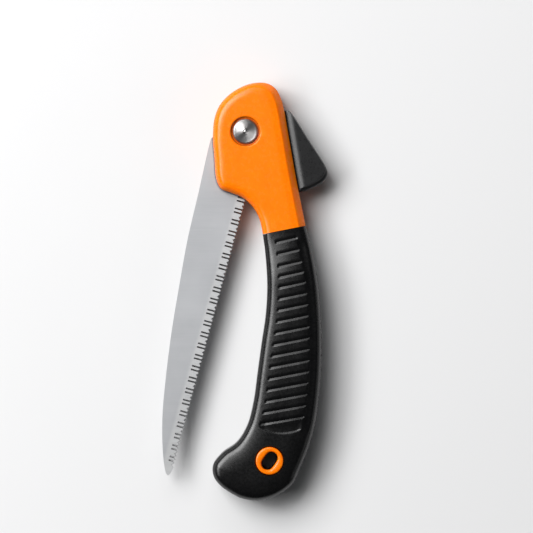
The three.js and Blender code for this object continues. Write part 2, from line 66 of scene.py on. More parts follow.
# ---------------------------------------------------------------- sizes
# The CAD model's, apart from finer surfaces and a lower window for the lever.
HEAD_HALF = 9.5
GRIP_HALF = 11.5
GRIP_WALL = 2.1
CORE_INSETS = [GRIP_WALL, 3.4, 5]
CORE_GAP = 0.3
SLOT_HALF = 0.95
SWEEP_GAP = 1.2
CAVITY_HALF = 5.05
BOSS_HALF = 5.3
BOSS_RADIUS = 4.3
BLADE_HALF = 0.65
TOOTH_LINE = 10.3
TOOTH_LEAN = 0.005
TOOTH_HEIGHT = 4.6
TOOTH_PERIOD = 6.41
TOOTH_GROUPS = 24
TEETH_START = 34.45
BLADE_TIP = 193.4
REST_ANGLE = -15.5
CLOSED_ANGLE = 5
TANG_RADIUS = 13
RIM_START = 36.5
NOTCH_RADIUS = 10.9
NOTCH_HALF = 1.75
NOTCHES = (163, 185)
BUSH_RADIUS = 4
BOLT_RADIUS = 6.8
BOLT_RECESS_RADIUS = 8
BOLT_RECESS_DEPTH = 1.6
BOLT_SHANK = 3
NUT_ACROSS = 10
NUT_HEIGHT = 6
NUT_GAP = 0.6
SCREW_SHANK = 1.5
SCREW_HEAD = 2.7
SCREW_HEAD_BASE = 5
SCREW_HEAD_TOP = 8
SCREW_SEAT = 3
EYELET = (13.2, -180.3)
EYELET_RADIUS = 7.7
EYELET_SLOT_HALF = 3.45
EYELET_SLOT_LONG = 1.8
EYELET_TILT = 35
PAD_HALF = 5.2
PAD_RIDGE = (28.7, -10)
PAD_RIDGE_LEAN = 9.8
PAD_SLOPE = 23

HEAD_OUTLINE = [
    (36.4, -68), (32.9, -50.7), (28, -26), (23.3, 0.7), (21.3, 12), (19.4, 18.6), (16.4, 23.8), (12, 26.5),
    (6, 26.9), (-0.5, 25.3), (-8, 21.1), (-14, 14.8), (-17, 7.5), (-17.9, -1.5), (-17, -15), (-15.9, -26.4),
    (-13.4, -31.3), (-7.5, -33.7), (-1.2, -36.5), (4.3, -41.7), (7.6, -47.8), (9.3, -55), (10.5, -66),
    (14, -76), (23, -81), (33, -77),
]
NECK_FRONT = (9.3, -56.3)
NECK_BACK = (32.9, -51.6)
GRIP_OUTLINE = [
    (30.6, -41), (33, -51.4), (36.3, -64.5), (39.8, -83.5), (41.3, -101), (41.7, -117), (41.3, -133),
    (40, -148), (38, -161), (35.2, -171.5), (32.2, -179.5), (29.2, -186.5), (26.5, -192.4), (21, -197.4),
    (14, -200.9), (6, -202.4), (-2, -201.2), (-8, -198.3), (-13.5, -194.4), (-17.3, -189.5), (-17.8, -183),
    (-12.8, -176.3), (-4.6, -170.2), (1, -161), (4.4, -148), (6.6, -132), (8.8, -116), (11.1, -100),
    (11.9, -84), (10.8, -66), (9.5, -56), (8.3, -44), (11, -35), (19, -31), (27, -34),
]
SPINE = [
    (-17.3, -8.5), (-17.3, -13), (-16, -39), (-14.9, -65.4), (-12.5, -91.5), (-9.7, -117.6), (-5.9, -143.4),
    (-2.8, -160.4), (0.4, -172.9), (3.2, -181.6), (5.5, -187.6), (7.4, -191.6), (8.4, -193),
]
LEVER_OUTLINE = [
    (20.9, 7.5), (21.3, 11.3), (23.2, 11.9), (25.6, 9.9), (28.3, 6.1), (34.3, -3.6), (40.1, -12.4),
    (44.2, -19.2), (45.2, -22.9), (44, -26), (41.2, -28.5), (36.6, -31), (31.2, -33), (26.5, -33.2),
    (23.9, -30.8), (23.2, -25), (21.5, -14), (20.9, 0),
]
LEVER_ARM = [
    (15.8, 4), (16.1, -1), (16.2, -8), (14.7, -13.6), (14.1, -16.8), (15.2, -19.8), (17.4, -20.9),
    (21.4, -23.7), (22.4, -24.6), (22.4, -31.6), (24.2, -33.2), (29, -32), (26, -10), (22, 4), (20.9, 4.8),
]
LEVER_HALF = 2.9
SPRING_WALL = (15.9, -28)
SPRING_LENGTH = 5.9
SPRING_RADIUS = 2.1
SPRING_WIRE = 0.35
SPRING_TURNS = 5
CAVITY = [
    (13, 6.4), (13, -3), (13.6, -22), (15.3, -23.6), (15.3, -31.2), (19.5, -36), (60, -36), (60, 15.6),
    (17.2, 15.6), (17.2, 9.8),
]
# Heights of the grooves' bottoms at the middle of the grip: they stand a little wider near the head.
GROOVES = np.interp(np.arange(17), [0, 2, 4, 16], [-59.65, -72.7, -83.95, -158.15])
GROOVE_DEPTH = 0.48
GROOVE_RISE = 1.15
GROOVE_FALL = 2.2
# (inset, height) up the rounded edge where the two halves of a moulding meet.
PARTING_EDGE = [(0.3, 0), (0.05, 0.28), (0, 0.5)]
# Tilt of the surfaces in degrees, against the distance from their edge: the head, its back and the grip.
HEAD_TILT = [(0, 72), (0.8, 60), (1.6, 45), (2.4, 32), (2.9, 25), (3.6, 17), (4.4, 10), (5.2, 5), (6, 0)]
BACK_TILT = [(0, 50), (1.2, 48), (3.2, 45), (3.9, 28), (4.4, 3), (5.2, 10), (6.6, 7), (8.3, 0)]
GRIP_TILT = [
    (0, 74), (0.35, 67), (0.9, 58), (1.5, 48), (2.0, 38), (2.4, 30), (3.4, 20), (4.0, 14), (4.8, 10),
    (6, 7.5), (8, 5), (10, 3), (13, 0),
]

# ---------------------------------------------------------------- picture and light
VIEW_CENTRE = (11.55, -73.98)
VIEW_WIDTH = 293.15
LENS = 250
SENSOR = 36
FLOOR_REACH = 3.0
# Name, place and size in metres, and power in watts. All of them face the frame's origin.
LIGHTS = [
    ("key", (-1.3, 1.05, 1.87), (1.65, 1.65), 78),
    ("left", (-1.72, 0.1, 1.68), (1.5, 0.6), 22),
    ("upper", (-0.3, 2.0, 1.5), (1.5, 0.75), 12),
    ("fill", (1.35, -0.3, 0.6), (1.0, 0.6), 1),
    ("top", (-0.5, 0.7, 2.4), (0.7, 0.7), 6),
]


def at(x, y, z=0.0):
    """A point of the CAD drawing in the frame's metres."""
    return PIVOT + Vector((x, y, z)) * MM


def middle_of(node):
    """The middle of a CAD node, in millimetres from the pivot."""
    low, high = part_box(node)
    return ((low + high) / 2 - PIVOT) / MM


# ---------------------------------------------------------------- curves
def spline(points, spacing, closed=True):
    """A centripetal Catmull-Rom curve through the points, cut into even steps of about spacing."""
    corners = [Vector(p) for p in points]
    count = len(corners)
    fine = []
    for i in range(count if closed else count - 1):
        p1, p2 = corners[i], corners[(i + 1) % count]
        p0 = corners[i - 1] if closed or i > 0 else 2 * p1 - p2
        p3 = corners[(i + 2) % count] if closed or i + 2 < count else 2 * p2 - p1
        t1 = (p1 - p0).length ** 0.5
        t2 = t1 + (p2 - p1).length ** 0.5
        t3 = t2 + (p3 - p2).length ** 0.5
        for k in range(24):
            t = t1 + (t2 - t1) * k / 24
            a1 = p0 * ((t1 - t) / t1) + p1 * (t / t1)
            a2 = p1 * ((t2 - t) / (t2 - t1)) + p2 * ((t - t1) / (t2 - t1))
            a3 = p2 * ((t3 - t) / (t3 - t2)) + p3 * ((t - t2) / (t3 - t2))
            b1 = a1 * ((t2 - t) / t2) + a2 * (t / t2)
            b2 = a2 * ((t3 - t) / (t3 - t1)) + a3 * ((t - t1) / (t3 - t1))
            fine.append(b1 * ((t2 - t) / (t2 - t1)) + b2 * ((t - t1) / (t2 - t1)))
    if not closed:
        fine.append(corners[-1])
    return even_steps(np.array([tuple(p) for p in fine]), spacing, closed)


def even_steps(line, spacing, closed):
    """The same line with its points at even distances."""
    if closed:
        line = np.vstack([line, line[:1]])
    run = np.concatenate([[0], np.cumsum(np.linalg.norm(np.diff(line, axis=0), axis=1))])
    steps = max(3, round(run[-1] / spacing))
    places = np.linspace(0, run[-1], steps + 1)
    out = np.column_stack([np.interp(places, run, line[:, k]) for k in (0, 1)])
    return out[:-1] if closed else out


def counter_clockwise(loop):
    """The loop, turned round if it runs clockwise."""
    x, y = loop[:, 0], loop[:, 1]
    area = np.sum(x * np.roll(y, -1) - np.roll(x, -1) * y)
    return loop if area > 0 else loop[::-1]


def inward_normals(loop):
    """Unit normals that point into a counter-clockwise loop."""
    along = np.roll(loop, -1, axis=0) - np.roll(loop, 1, axis=0)
    along /= np.linalg.norm(along, axis=1)[:, None]
    return np.column_stack([-along[:, 1], along[:, 0]])


def distance_to(loop, points):
    """Distance of each point from the nearest stretch of a closed loop."""
    a, b = loop, np.roll(loop, -1, axis=0)
    ab = b - a
    length2 = (ab**2).sum(1)
    best = np.full(len(points), 1e9)
    for i, p in enumerate(points):
        t = np.clip(((p - a) * ab).sum(1) / length2, 0, 1)
        best[i] = np.sqrt(((a + t[:, None] * ab - p) ** 2).sum(1).min())
    return best


def inside(loop, points):
    """Whether each point lies inside a closed loop."""
    x1, y1 = loop[:, 0], loop[:, 1]
    x2, y2 = np.roll(x1, -1), np.roll(y1, -1)
    result = np.zeros(len(points), bool)
    for i, (x, y) in enumerate(points):
        crosses = (y1 > y) != (y2 > y)
        at_x = x1[crosses] + (y - y1[crosses]) * (x2[crosses] - x1[crosses]) / (y2[crosses] - y1[crosses])
        result[i] = np.count_nonzero(at_x > x) % 2 == 1
    return result


def smooth_step(low, high, value):
    """0 below low and 1 above high, with an even ease between them."""
    t = np.clip((value - low) / (high - low), 0, 1)
    return t * t * (3 - 2 * t)


def arc(radius, start, stop, steps, centre=(0, 0)):
    """Points on a circle between two angles in degrees."""
    angles = np.radians(np.linspace(start, stop, steps + 1))
    return [(centre[0] + radius * math.cos(a), centre[1] + radius * math.sin(a)) for a in angles]


# ---------------------------------------------------------------- meshes
def make_object(name, verts, faces, flip=False):
    """A mesh object from points in millimetres. flip mirrors it to the rear of the blade's plane."""
    side = -1 if flip else 1
    mesh = bpy.data.meshes.new(name)
    mesh.from_pydata([at(x, y, side * z) for x, y, z in verts], [], [f[::side] for f in faces])
    mesh.update()
    obj = bpy.data.objects.new(name, mesh)
    bpy.context.scene.collection.objects.link(obj)
    return obj


def apply_modifiers(obj):
    """Gives an object the mesh that its modifiers make, in place of its own."""
    bpy.context.view_layer.update()
    shape = obj.evaluated_get(bpy.context.evaluated_depsgraph_get())
    mesh = bpy.data.meshes.new_from_object(shape)
    obj.modifiers.clear()
    old, obj.data = obj.data, mesh
    bpy.data.meshes.remove(old)


def boolean(obj, operation, *tools):
    """Joins tools to an object, cuts them out of it or keeps what they share, and removes the tools."""
    for tool in tools:
        modifier = obj.modifiers.new("cut", "BOOLEAN")
        modifier.operation = operation
        modifier.object = tool
        modifier.solver = "MANIFOLD"
    apply_modifiers(obj)
    for tool in tools:
        bpy.data.objects.remove(tool)
    return obj


def smooth_shade(obj, angle):
    """Smooth shading with creases kept, and normals that follow the large faces."""
    obj.data.shade_smooth()
    obj.data.set_sharp_from_angle(angle=math.radians(angle))
    modifier = obj.modifiers.new("normals", "WEIGHTED_NORMAL")
    modifier.keep_sharp = True
    apply_modifiers(obj)


def bridge(faces, lower, upper, count):
    """Adds the quads between two closed rings of vertices."""
    for i in range(count):
        j = (i + 1) % count
        faces.append((lower + i, lower + j, upper + j, upper + i))


def prism(name, outline, low, high, flip=False):
    """A closed prism of an outline between two heights."""
    loop = counter_clockwise(np.array(outline, float))
    count = len(loop)
    verts = [(x, y, low) for x, y in loop] + [(x, y, high) for x, y in loop]
    faces = [tuple(range(count))[::-1], tuple(range(count, 2 * count))]
    bridge(faces, 0, count, count)
    return make_object(name, verts, faces, flip)


def turned(name, profile, centre, sides=96, flip=False):
    """A solid turned about Z, from (radius, height) pairs that start and end on the axis, going up."""
    inner = profile[1:-1]
    verts = [(centre[0], centre[1], profile[0][1])]
    for radius, height in inner:
        for x, y in arc(radius, 0, 360 - 360 / sides, sides - 1, centre):
            verts.append((x, y, height))
    verts.append((centre[0], centre[1], profile[-1][1]))
    faces = [(0, 1 + (i + 1) % sides, 1 + i) for i in range(sides)]
    for ring in range(len(inner) - 1):
        bridge(faces, 1 + ring * sides, 1 + (ring + 1) * sides, sides)
    last = 1 + (len(inner) - 1) * sides
    top = len(verts) - 1
    faces += [(last + i, last + (i + 1) % sides, top) for i in range(sides)]
    return make_object(name, verts, faces, flip)


def cylinder(name, radius, low, high, centre, sides, flip=False):
    """A cylinder about Z between two heights."""
    return turned(name, [(0, low), (radius, low), (radius, high), (0, high)], centre, sides, flip)


def ring_solid(name, rings, flip=False):
    """A closed band through rings of points, the last joined to the first, such as an eyelet."""
    count = len(rings[0])
    verts = [p for ring in rings for p in ring]
    faces = []
    for r in range(len(rings)):
        bridge(faces, r * count, (r + 1) % len(rings) * count, count)
    return make_object(name, verts, faces, flip)


def domed(name, loop, wall, dome, height, filling=None, flip=False):
    """Half a moulding: closed at z = 0, with an outer wall and a domed top.

    wall lists (inset, height) pairs up the side, and dome lists the insets of the rings that follow.
    height(points, insets) gives the top's surface. filling lists points for the middle, if it isn't flat.
    """
    loop = counter_clockwise(loop)
    normals = inward_normals(loop)
    count = len(loop)
    verts, faces = [], [tuple(range(count))[::-1]]
    for inset, z in wall:
        verts += [(x, y, z) for x, y in loop + normals * inset]
    for inset in dome:
        ring = loop + normals * inset
        verts += [(x, y, z) for (x, y), z in zip(ring, height(ring, np.full(count, inset)))]
    rings = len(wall) + len(dome)
    for r in range(rings - 1):
        bridge(faces, r * count, (r + 1) * count, count)
    last = (rings - 1) * count
    if filling is None:
        faces.append(tuple(range(last, last + count)))
        return make_object(name, verts, faces, flip)
    rim = loop + normals * dome[-1]
    found = filling[inside(rim, filling)]
    depth = distance_to(loop, found)
    keep = depth > dome[-1] + 0.25
    found, depth = found[keep], depth[keep]
    middle_start = len(verts)
    verts += [(x, y, z) for (x, y), z in zip(found, height(found, depth))]
    flat = [Vector(p) for p in rim] + [Vector(p) for p in found]
    edges = [(i, (i + 1) % count) for i in range(count)]
    corners, _, triangles, origins = delaunay_2d_cdt(flat, edges, [], 1, 1e-7)[:4]
    to_vert = {}
    for new, sources in enumerate(origins):
        to_vert[new] = last + sources[0] if sources[0] < count else middle_start + sources[0] - count
    for triangle in triangles:
        a, b, c = (corners[i] for i in triangle)
        turn = (b - a).cross(c - a)
        face = tuple(to_vert[i] for i in triangle)
        faces.append(face if turn > 0 else face[::-1])
    return make_object(name, verts, faces, flip)


def contour_points(loop, insets):
    """Points along lines that run at even distances inside a loop."""
    loop = counter_clockwise(loop)
    normals = inward_normals(loop)
    rings = [loop + normals * inset for inset in insets]
    return np.vstack([ring[distance_to(loop, ring) > inset - 0.04] for ring, inset in zip(rings, insets)])


def grid_points(low, high, step_x, step_y):
    """Points of an even grid between two corners."""
    x, y = np.meshgrid(np.arange(low[0], high[0], step_x), np.arange(low[1], high[1], step_y))
    return np.column_stack([x.ravel(), y.ravel()])


# ---------------------------------------------------------------- materials
class Surface:
    """A Principled material with short calls for the nodes that vary it over the surface."""

    def __init__(self, name, color, roughness, metallic=0.0, **sockets):
        self.material = bpy.data.materials.new(name)
        self.material.use_nodes = True
        self.tree = self.material.node_tree
        self.shader = self.tree.nodes["Principled BSDF"]
        self.shader.inputs["Base Color"].default_value = (*color, 1)
        self.shader.inputs["Roughness"].default_value = roughness
        self.shader.inputs["Metallic"].default_value = metallic
        for socket, value in sockets.items():
            self.shader.inputs[socket.replace("_", " ")].default_value = value
        self.places = self.node("ShaderNodeTexCoord").outputs["Object"]
        self.height = None

    def node(self, kind, **settings):
        made = self.tree.nodes.new(kind)
        for key, value in settings.items():
            setattr(made, key, value)
        return made

    def link(self, source, target):
        self.tree.links.new(source, target)

    def placed(self, offset=(0, 0, 0), turn=0.0, stretch=(1, 1, 1)):
        """The surface's own coordinates in millimetres from a point, turned about Z and stretched."""
        shift = self.node("ShaderNodeVectorMath", operation="SUBTRACT")
        self.link(self.places, shift.inputs[0])
        shift.inputs[1].default_value = at(*offset)
        mapping = self.node("ShaderNodeMapping")
        mapping.inputs["Rotation"].default_value = (0, 0, turn)
        mapping.inputs["Scale"].default_value = [s / MM for s in stretch]
        self.link(shift.outputs[0], mapping.inputs["Vector"])
        return mapping.outputs[0]

    def noise(self, size, detail=3.0, places=None, roughness=0.5):
        """Noise whose features are about size millimetres across."""
        made = self.node("ShaderNodeTexNoise")
        made.inputs["Scale"].default_value = 1 / size
        made.inputs["Detail"].default_value = detail
        made.inputs["Roughness"].default_value = roughness
        self.link(places or self.placed(), made.inputs["Vector"])
        return made.outputs["Fac"]

    def between(self, value, low, high, out_low, out_high):
        """The value eased from the range low to high onto the range out_low to out_high."""
        made = self.node("ShaderNodeMapRange", interpolation_type="SMOOTHSTEP")
        self.link(value, made.inputs["Value"])
        limits = {"From Min": low, "From Max": high, "To Min": out_low, "To Max": out_high}
        for socket, number in limits.items():
            made.inputs[socket].default_value = number
        return made.outputs["Result"]

    def patches(self, size, detail, out_low=0, out_high=1):
        """Soft patches about size millimetres across, as values from out_low to out_high."""
        return self.between(self.noise(size, detail), 0.3, 0.7, out_low, out_high)

    def math(self, operation, first, second=None):
        made = self.node("ShaderNodeMath", operation=operation)
        for socket, value in zip(made.inputs, (first, second)):
            if value is None:
                continue
            if isinstance(value, (int, float)):
                socket.default_value = value
            else:
                self.link(value, socket)
        return made.outputs[0]

    def mix(self, amount, first, second):
        """A colour between two colours or sockets."""
        # The node's colour inputs are 6 and 7, and its colour output is 2.
        made = self.node("ShaderNodeMix", data_type="RGBA")
        self.link(amount, made.inputs["Factor"])
        for socket, value in zip((made.inputs[6], made.inputs[7]), (first, second)):
            if isinstance(value, tuple):
                socket.default_value = (*value, 1)
            else:
                self.link(value, socket)
        return made.outputs[2]

    def painted_shade(self, reach, low, high):
        """A mask for painted shade: 1 deep in crevices, where little light reaches, down to 0 where the
        surface is open.
        """
        made = self.node("ShaderNodeAmbientOcclusion", samples=8)
        made.inputs["Distance"].default_value = reach * MM
        return self.between(made.outputs["AO"], low, high, 1, 0)

    def paint(self, color):
        self.link(color, self.shader.inputs["Base Color"])

    def rough(self, value):
        self.link(value, self.shader.inputs["Roughness"])

    def bump(self, height, depth):
        """Relief of the given depth in millimetres, laid on what was added before."""
        made = self.node("ShaderNodeBump")
        made.inputs["Distance"].default_value = depth * MM
        self.link(height, made.inputs["Height"])
        if self.height is not None:
            self.link(self.height, made.inputs["Normal"])
        self.height = made.outputs["Normal"]
        self.link(self.height, self.shader.inputs["Normal"])


def orange_plastic():
    """Satin moulded nylon: faint cloudiness, fine moulding texture, edges rubbed a little paler, and
    painted shade, a dark red-brown, deep in recesses and holes.
    """
    scatter = {"Subsurface_Weight": 0.3, "Subsurface_Scale": 0.002}
    look = Surface("orange_nylon", (0.95, 0.19, 0.0), 0.26, IOR=1.38, **scatter)
    look.shader.inputs["Subsurface Radius"].default_value = (1.0, 0.15, 0.02)
    cloud = look.between(look.noise(9, 4), 0.35, 0.65, 0, 1)
    color = look.mix(cloud, (0.94, 0.183, 0.0), (0.95, 0.192, 0.0))
    edges = look.node("ShaderNodeNewGeometry").outputs["Pointiness"]
    color = look.mix(look.between(edges, 0.52, 0.62, 0, 0.25), color, (1.0, 0.3, 0.02))
    # Painted shade: a dark red-brown laid into recesses, the bolt's seat and the hanging hole.
    look.paint(look.mix(look.painted_shade(5, 0.35, 0.75), color, (0.16, 0.006, 0.0)))
    look.rough(look.patches(2.2, 4, 0.23, 0.29))
    look.bump(look.noise(0.45, 3), 0.008)
    look.bump(look.noise(14, 2), 0.015)
    return look.material


def soft_rubber():
    """Satin black elastomer with a fine matt grain and slightly shinier patches."""
    look = Surface("soft_black", (0.001, 0.001, 0.0012), 0.28, IOR=1.5)
    look.paint(look.mix(look.patches(6, 5), (0.0008, 0.0008, 0.001), (0.002, 0.002, 0.0022)))
    look.rough(look.patches(1.4, 4, 0.25, 0.31))
    look.bump(look.noise(0.3, 2), 0.002)
    look.bump(look.noise(5, 2), 0.012)
    return look.material


def black_nylon():
    """Hard black plastic of the lever: a little greyer than the grip, with a fine grain."""
    look = Surface("black_nylon", (0.01, 0.01, 0.011), 0.31, IOR=1.5)
    look.paint(look.mix(look.patches(5, 4), (0.004, 0.004, 0.0045), (0.007, 0.007, 0.0076)))
    look.rough(look.patches(0.9, 4, 0.27, 0.34))
    look.bump(look.noise(0.22, 2), 0.008)
    return look.material


def blade_steel():
    """Satin steel with faint grinding lines across the blade, a brighter ground band at the teeth, and
    painted shade, near black, in the tooth slits and tight gaps.
    """
    turn = -math.radians(REST_ANGLE)
    look = Surface("ground_steel", (0.6, 0.61, 0.63), 0.5, metallic=1.0)
    along_blade = look.placed(turn=turn)
    lines = look.noise(1.0, 5, look.placed(turn=turn, stretch=(0.05, 3.2, 1)), 0.6)
    cloud = look.between(look.noise(30, 3, along_blade), 0.3, 0.7, 0, 1)
    parts = look.node("ShaderNodeSeparateXYZ")
    look.link(along_blade, parts.inputs[0])
    band = look.between(parts.outputs["X"], TOOTH_LINE - 6.4, TOOTH_LINE - 4.2, 0, 1)
    color = look.mix(cloud, (0.395, 0.402, 0.417), (0.448, 0.455, 0.47))
    color = look.mix(look.between(lines, 0.25, 0.75, 0, 0.35), color, (0.515, 0.52, 0.53))
    color = look.mix(look.math("MULTIPLY", band, 0.4), color, (0.62, 0.62, 0.61))
    # Painted shade: near black in the tooth slits and where other parts stand close over the blade.
    look.paint(look.mix(look.painted_shade(1.6, 0.4, 0.92), color, (0.02, 0.02, 0.02)))
    look.rough(look.between(lines, 0.2, 0.8, 0.46, 0.56))
    look.bump(lines, 0.004)
    return look.material


def turned_steel():
    """Bright steel with fine turning rings about the bolt's axis."""
    brushed = {"Anisotropic": 0.8, "Anisotropic_Rotation": 0.25}
    look = Surface("turned_steel", (0.44, 0.43, 0.425), 0.33, metallic=1.0, **brushed)
    tangent = look.node("ShaderNodeTangent", direction_type="RADIAL", axis="Z")
    look.link(tangent.outputs[0], look.shader.inputs["Tangent"])
    radius = look.node("ShaderNodeVectorMath", operation="LENGTH")
    look.link(look.placed(stretch=(1, 1, 0)), radius.inputs[0])
    rings = look.math("SINE", look.math("MULTIPLY", radius.outputs["Value"], 38))
    look.bump(rings, 0.003)
    look.rough(look.patches(0.8, 4, 0.3, 0.36))
    return look.material


def zinc():
    """Zinc-plated steel with a faint spangle."""
    look = Surface("zinc_plate", (0.55, 0.56, 0.57), 0.35, metallic=1.0)
    look.paint(look.mix(look.patches(0.9, 4), (0.46, 0.47, 0.49), (0.62, 0.63, 0.64)))
    look.rough(look.patches(1.6, 5, 0.25, 0.45))
    look.bump(look.noise(0.35, 3), 0.006)
    return look.material


def pale_floor():
    """A matt pale floor, nearly even."""
    look = Surface("pale_floor", (0.67, 0.67, 0.673), 0.7)
    look.rough(look.patches(40, 3, 0.65, 0.75))
    return look.material


ORANGE = orange_plastic()
RUBBER = soft_rubber()
NYLON = black_nylon()
STEEL = blade_steel()
BRIGHT = turned_steel()
ZINC = zinc()


def finish_piece(obj, material, body, slot, *nodes, angle=38):
    """Shades a piece, gives it its material and hides the CAD nodes it stands for.

    body is None for a piece that joins two bodies.
    """
    smooth_shade(obj, angle)
    obj.data.materials.clear()
    obj.data.materials.append(material)
    if body:
        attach(obj, body)
    if nodes:
        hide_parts(*nodes)
    return obj


# ---------------------------------------------------------------- shapes that the halves share
def closed_edge(along, beyond):
    """A point on the closed blade's edge: distance along it from the pivot, and distance beyond it."""
    a = math.radians(CLOSED_ANGLE)
    out = TOOTH_LINE + beyond
    return (out * math.cos(a) + along * math.sin(a), out * math.sin(a) - along * math.cos(a))


def slot_outline():
    """The space that the blade sweeps inside the handle, up to the ledge that the closed blade rests on."""
    ledge_gap = 0.25
    reach = math.hypot(BLADE_TIP, TOOTH_LINE) + 0.7
    return [
        (-60, 60), (-60, -100), *arc(reach, -120, -81.4, 24), closed_edge(BLADE_TIP - 8, SWEEP_GAP),
        closed_edge(34, SWEEP_GAP), closed_edge(34, ledge_gap), closed_edge(24, ledge_gap),
        closed_edge(24, SWEEP_GAP), closed_edge(16, SWEEP_GAP),
        (14, -8), (14, 4.5), (17.2, 9.5), (17.2, 60),
    ]


def slot_cutter(flip):
    """The slot that one half leaves for the blade."""
    return prism("slot", slot_outline(), -1, SLOT_HALF, flip)


def neck_cutter(below, gap, flip):
    """Everything below the neck line, or above it."""
    (ax, ay), (bx, by) = NECK_FRONT, NECK_BACK
    slope = (by - ay) / (bx - ax)
    aside = 90
    far = -300 if below else aside
    left, right = ((x, ay + slope * (x - ax) - gap) for x in (-aside, aside))
    return prism("neck", [left, right, (aside, far), (-aside, far)], -2, 40, flip)


def shoulder(tilts):
    """How far a surface lies below its crown at a distance from the edge, from its tilt on the way in."""
    depths = np.linspace(0, tilts[-1][0], 301)
    slope = np.tan(np.radians(np.interp(depths, *zip(*tilts))))
    steps = (slope[1:] + slope[:-1]) / 2 * np.diff(depths)
    drops = np.concatenate([np.cumsum(steps[::-1])[::-1], [0]])
    return lambda depth: np.interp(depth, depths, drops)


head_shoulder = shoulder(HEAD_TILT)
back_shoulder = shoulder(BACK_TILT)
grip_shoulder = shoulder(GRIP_TILT)


# ---------------------------------------------------------------- handle
def head_height(points, depth):
    """Height of the head's surface: rounded at the jaw, with a broad chamfer along the back."""
    back = smooth_step(4, 17, points[:, 0] + 0.1 * points[:, 1])
    return HEAD_HALF - (1 - back) * head_shoulder(depth) - back * back_shoulder(depth)


def make_head(flip):
    """One orange half of the head, with its rounded edge and the seat of the bolt or the nut."""
    name = "head_rear" if flip else "head_front"
    loop = spline(HEAD_OUTLINE, 0.6)
    wall = [*PARTING_EDGE, (0, 3.8)]
    dome = [0.12, 0.35, 0.6, 0.9, 1.2, 1.6, 2.0, 2.4, 2.8]
    lines = contour_points(loop, [3.2, 3.6, 3.9, 4.15, 4.4, 4.6, 4.8, 5.1, 5.5, 6, 6.8, 7.6, 8.5])
    middle = grid_points((-10, -80), (36, 20), 1.9, 1.9)
    middle = middle[distance_to(loop, middle) > 9.2]
    head = domed(name, loop, wall, dome, head_height, np.vstack([lines, middle]), flip)
    pin = middle_of("lever_pin").to_2d()
    cutters = [neck_cutter(True, 0, flip), slot_cutter(flip)]
    cutters.append(prism("cavity", CAVITY, -1, CAVITY_HALF, flip))
    cutters.append(cylinder("well", BOSS_RADIUS + 0.4, -1, BOSS_HALF + 0.3, pin, 48, flip))
    if flip:
        cutters += [nut_pocket(), screw_seat(middle_of("handle_screw_1"), HEAD_HALF)]
    else:
        cutters.append(bolt_recess())
    return boolean(head, "DIFFERENCE", *cutters)


def bolt_recess():
    """The round seat of the bolt's head, with a rounded lip."""
    round_lip, round_foot = 0.9, 0.5
    above = HEAD_HALF + 0.3
    floor = HEAD_HALF - BOLT_RECESS_DEPTH
    foot = arc(round_foot, -90, 0, 4, (BOLT_RECESS_RADIUS - round_foot, floor + round_foot))
    lip = arc(round_lip, 180, 96.92, 6, (BOLT_RECESS_RADIUS + round_lip, HEAD_HALF - round_lip))
    profile = [(0, floor), *foot, *lip, (lip[-1][0] + 0.2, above), (0, above)]
    return turned("recess", profile, (0, 0), 128)


def nut_pocket():
    """The six-sided pocket of the nut, in the rear half."""
    corner = (NUT_ACROSS + NUT_GAP) / math.sqrt(3)
    return prism("pocket", arc(corner, 0, 300, 5), GRIP_HALF - NUT_HEIGHT - 1, 20, True)


def screw_seat(middle, surface):
    """The round hole that a screw's head sits in, with a rounded lip. It opens to the rear."""
    floor = SCREW_HEAD_BASE - 0.1
    mouth = SCREW_SEAT + 0.5
    profile = [(0, floor), (SCREW_SEAT, floor), (SCREW_SEAT, surface - 0.5)]
    profile += [(SCREW_SEAT + 0.15, surface - 0.15), (mouth, surface + 0.1), (mouth, surface + 2)]
    profile.append((0, surface + 2))
    return turned("seat", profile, middle.to_2d(), 48, True)


def grip_screw_seats():
    """The seats of the two screws that go through the rear grip and its core."""
    return [screw_seat(middle_of(f"handle_screw_{i}"), GRIP_HALF - 0.9) for i in (2, 3)]


def grip_middle(y):
    """The x of the grip's middle line."""
    return np.interp(-y, [56, 84, 117, 148, 165], [21, 26, 25.5, 22.5, 19])


def groove_slant(x, y):
    """How much higher a groove runs at x than at the middle of the grip."""
    return np.tan(np.radians(np.interp(-y, [56, 90, 165], [12.5, 11.5, 10]))) * (x - grip_middle(y))


def grip_height(points, depth):
    """Height of the grip's surface: a rounded shoulder, a low crown, slanting grooves and a curved step."""
    x, y = points[:, 0], points[:, 1]
    top = GRIP_HALF - smooth_step(-84, -56, y) * (GRIP_HALF - HEAD_HALF)
    surface = top * (1 - grip_shoulder(depth) / GRIP_HALF)
    ribbed = smooth_step(-168, -158, y) * (1 - smooth_step(-63, -58, y))
    back = smooth_step(-1, 1, x - grip_middle(y)) * ribbed
    within = smooth_step(5.9 - 0.8 * back, 6.8 + 0.6 * back, depth)
    above_step = y - (-165.4 + 0.02 * (x - 20) ** 2)
    pocket = smooth_step(-0.3, 0.6, above_step) * (1 - smooth_step(1, 10, above_step))
    below = GROOVES - (y - groove_slant(x, y))[:, None]
    falling = np.clip(1 + below / GROOVE_FALL, 0, 1) ** 2.2
    rising = np.clip(1 - below / GROOVE_RISE, 0, 1)
    groove = within * np.where(below < 0, falling, rising).max(axis=1)
    # The grooves run out towards the back, where the surface beside the ribs is as low as they are.
    beside = back * (1 - within) * smooth_step(1.5, 4.5, depth)
    return surface - GROOVE_DEPTH * np.maximum(groove, beside) - 0.5 * pocket * smooth_step(5.4, 9.5, depth)


